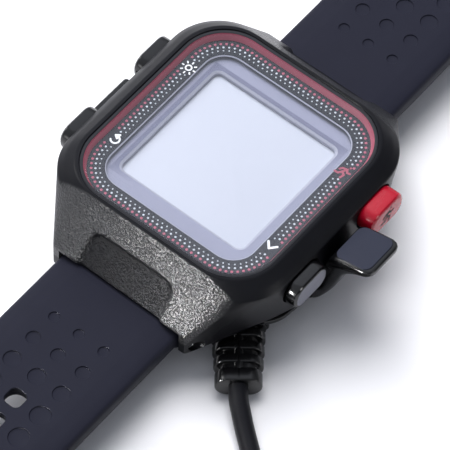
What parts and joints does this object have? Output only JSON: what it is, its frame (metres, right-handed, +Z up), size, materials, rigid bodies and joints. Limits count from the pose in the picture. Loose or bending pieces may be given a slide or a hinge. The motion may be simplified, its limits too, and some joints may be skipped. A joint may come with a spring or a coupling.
{
  "type": "gps running watch",
  "caption": "Square digital running watch with red accents, side push buttons and a perforated rubber strap, held in a spring-lever charging clip with a USB cord.",
  "frame": {"origin": "on the surface that the clip stands on, under the middle of the display", "axes": "+Z up through the lens, +Y to 12 o'clock along the straps, +X to 3 o'clock"},
  "size_m": [0.0933, 0.2666, 0.0192],
  "materials": {
    "case": "moulded, fine leather grain on the slopes",
    "lens": "clear, polished",
    "gasket": "satin red",
    "dial_print": "printed slate grey with dot rows",
    "lcd": "lavender grey film",
    "lcd_picture": "pale reflective film",
    "light_guide": "translucent white",
    "board": "solder mask",
    "ceramic": "fired ceramic",
    "foil": "laminate foil",
    "component": "moulded",
    "steel": "polished stainless",
    "gold": "gold plated",
    "seal": "black elastomer",
    "button_black": "glossy black",
    "button_red": "glossy red",
    "strap": "matte blue-black polyurethane",
    "clip": "semi-gloss black",
    "lever_pad": "matte dark grey",
    "cord": "satin black jacket",
    "plug_insert": "moulded"
  },
  "bodies": {
    "clip": {"clip_base": "clip", "clip_cover": "clip", "clip_screws": "steel", "clip_board": "board", "contact_block": "component", "contact_barrels": "gold", "contact_springs": "steel", "lever_pin": "steel", "lever_spring": "steel", "strain_relief": "cord", "charge_cord": "cord", "cord_coil": "cord", "cord_tail": "cord", "usb_grip": "cord", "usb_shell": "steel", "usb_insert": "plug_insert"},
    "contacts": {"contact_pins": "gold"},
    "lever": {"clip_lever": "clip", "lever_pad": "lever_pad"},
    "watch": {"case_front": "case", "lens": "lens", "lens_gasket": "gasket", "dial_ring": "dial_print", "lcd_panel": "lcd", "lcd_polariser": "lcd_picture", "backlight": "light_guide", "main_board": "board", "gps_antenna": "ceramic", "battery": "foil", "buzzer": "component", "tact_switches": "component", "case_back": "case", "back_seal": "seal", "back_screws": "steel", "charge_contacts": "gold", "button_seals": "seal", "strap_pin_near": "steel", "strap_pin_far": "steel"},
    "light": {"button_light": "button_black", "clip_light": "steel"},
    "back": {"button_back": "button_black", "clip_back": "steel"},
    "run": {"button_run": "button_red", "clip_run": "steel"},
    "scroll": {"button_scroll": "button_black", "clip_scroll": "steel"},
    "strap_near": {"strap_near": "strap"},
    "strap_far": {"strap_far": "strap", "keeper_fixed": "strap", "buckle_pin": "steel"},
    "keeper": {"keeper_free": "strap"},
    "buckle": {"buckle_frame": "steel"},
    "tongue": {"buckle_tongue": "steel"}
  },
  "joints": [
    {"name": "watch_lift", "type": "slide", "parent": "clip", "child": "watch", "axis": [0, 0, 1], "range_m": [0, 0.03]},
    {"name": "lever_open", "type": "hinge", "parent": "clip", "child": "lever", "pos_m": [0.0186, 0, 0.0029], "axis": [0, 1, 0], "range_deg": [0, 18], "stiffness_Nm_per_rad": 0.02, "springref_deg": -11.46},
    {"name": "contacts_press", "type": "slide", "parent": "clip", "child": "contacts", "axis": [0, 0, -1], "range_m": [0, 0.0006], "stiffness_N_per_m": 400, "springref_m": -0.0004, "deforming": ["contact_springs"]},
    {"name": "light_press", "type": "slide", "parent": "watch", "child": "light", "axis": [1, 0, 0], "range_m": [0, 0.0007], "stiffness_N_per_m": 1500, "springref_m": -0.0003},
    {"name": "back_press", "type": "slide", "parent": "watch", "child": "back", "axis": [1, 0, 0], "range_m": [0, 0.0007], "stiffness_N_per_m": 1500, "springref_m": -0.0003},
    {"name": "run_press", "type": "slide", "parent": "watch", "child": "run", "axis": [-1, 0, 0], "range_m": [0, 0.0007], "stiffness_N_per_m": 1500, "springref_m": -0.0003},
    {"name": "scroll_press", "type": "slide", "parent": "watch", "child": "scroll", "axis": [-1, 0, 0], "range_m": [0, 0.0007], "stiffness_N_per_m": 1500, "springref_m": -0.0003},
    {"name": "strap_near_swing", "type": "hinge", "parent": "watch", "child": "strap_near", "pos_m": [0, -0.0249, 0.0073], "axis": [1, 0, 0], "range_deg": [0, 75]},
    {"name": "strap_far_swing", "type": "hinge", "parent": "watch", "child": "strap_far", "pos_m": [0, 0.0249, 0.0073], "axis": [-1, 0, 0], "range_deg": [0, 75]},
    {"name": "keeper_slide", "type": "slide", "parent": "strap_far", "child": "keeper", "axis": [0, 1, 0], "range_m": [-0.004, 0.004]},
    {"name": "buckle_swing", "type": "hinge", "parent": "strap_far", "child": "buckle", "pos_m": [0, 0.106, 0.0024], "axis": [1, 0, 0], "range_deg": [-30, 60]},
    {"name": "tongue_swing", "type": "hinge", "parent": "buckle", "child": "tongue", "pos_m": [0, 0.106, 0.0024], "axis": [1, 0, 0], "range_deg": [0, 60]}
  ]
}
